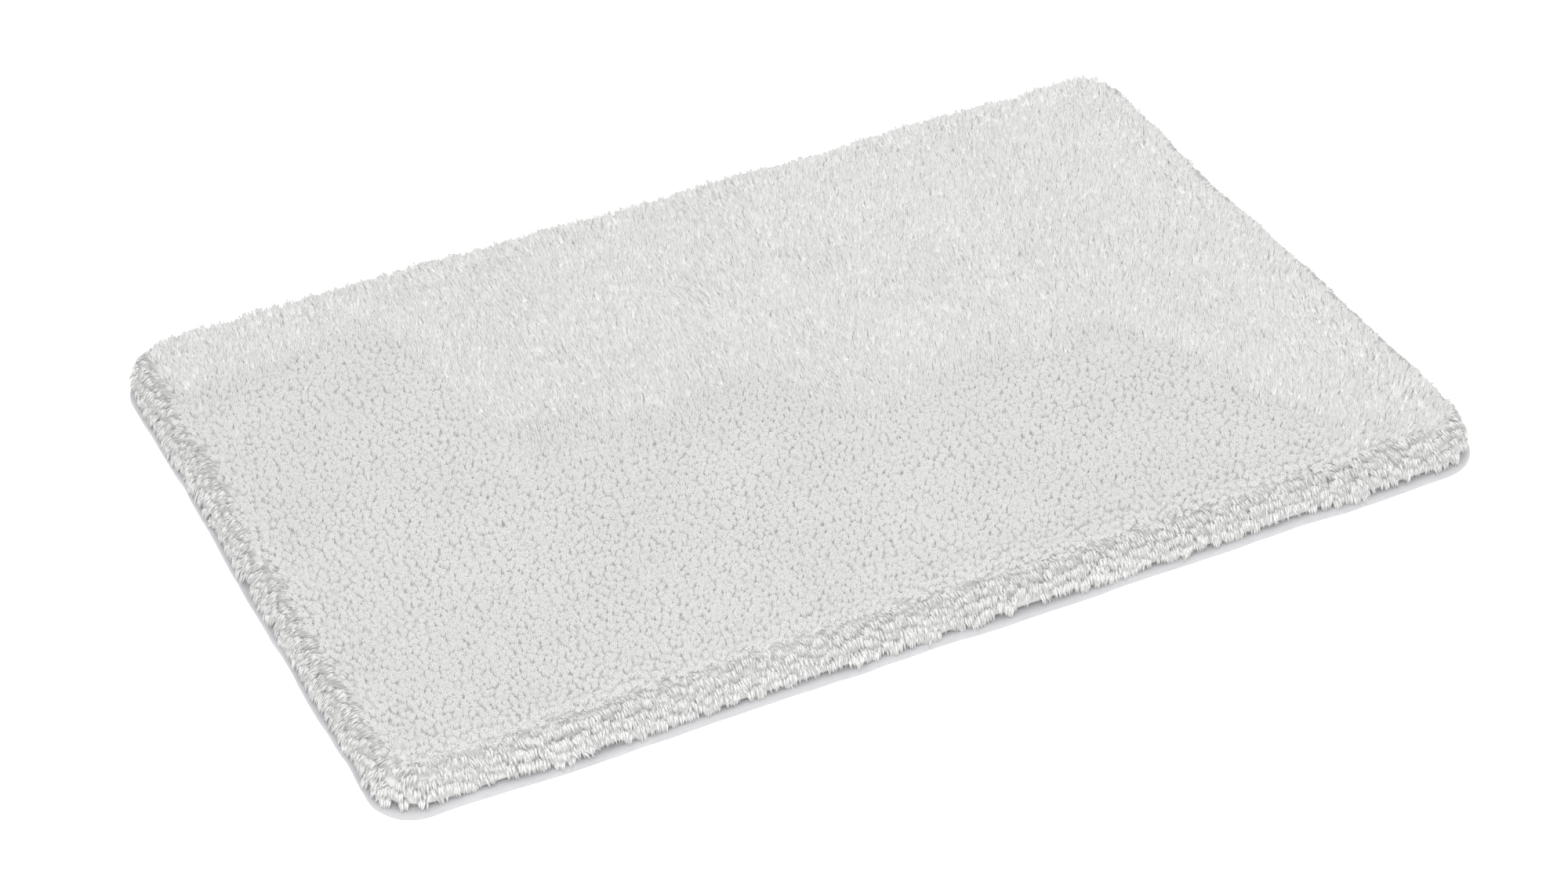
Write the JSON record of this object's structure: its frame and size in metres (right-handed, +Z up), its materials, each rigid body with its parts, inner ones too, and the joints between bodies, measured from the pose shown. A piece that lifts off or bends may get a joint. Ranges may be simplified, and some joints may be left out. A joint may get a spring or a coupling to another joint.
{
  "type": "bath mat",
  "caption": "Rectangular bath mat with a deep cut pile of tufted yarn, a bound edge, a layered backing and non-slip dots underneath.",
  "frame": {"origin": "centre of the underside, on the floor", "axes": "+X along the long edges, +Y along the short edges towards the back, +Z up out of the pile"},
  "size_m": [0.892, 0.6, 0.0425],
  "materials": {
    "pile_yarn": "soft off-white cut pile with a slight silky sheen",
    "backing_cloth": "plain woven off-white cloth",
    "latex": "matt latex",
    "binding_tape": "smooth pale grey woven tape",
    "sewing_thread": "spun thread",
    "nonslip_rubber": "matt soft rubber, translucent grey-white",
    "label_tape": "satin-woven blank tape"
  },
  "bodies": {
    "mat": {"tuft_rows_01": "pile_yarn", "tuft_rows_02": "pile_yarn", "tuft_rows_03": "pile_yarn", "tuft_rows_04": "pile_yarn", "tuft_rows_05": "pile_yarn", "tuft_rows_06": "pile_yarn", "tuft_rows_07": "pile_yarn", "tuft_rows_08": "pile_yarn", "tuft_rows_09": "pile_yarn", "tuft_rows_10": "pile_yarn", "tuft_rows_11": "pile_yarn", "tuft_rows_12": "pile_yarn", "tuft_rows_13": "pile_yarn", "tuft_rows_14": "pile_yarn", "tuft_rows_15": "pile_yarn", "primary_backing": "backing_cloth", "tuft_back_stitches": "pile_yarn", "latex_coat": "latex", "secondary_backing": "backing_cloth", "edge_binding": "binding_tape", "binding_needle_thread": "sewing_thread", "binding_bobbin_thread": "sewing_thread", "nonslip_film": "nonslip_rubber"},
    "label": {"care_label": "label_tape"}
  },
  "joints": [
    {"name": "label_flip", "type": "hinge", "parent": "mat", "child": "label", "pos_m": [0.433, 0.15, 0.00045], "axis": [0, -1, 0], "range_deg": [0, 120]}
  ]
}
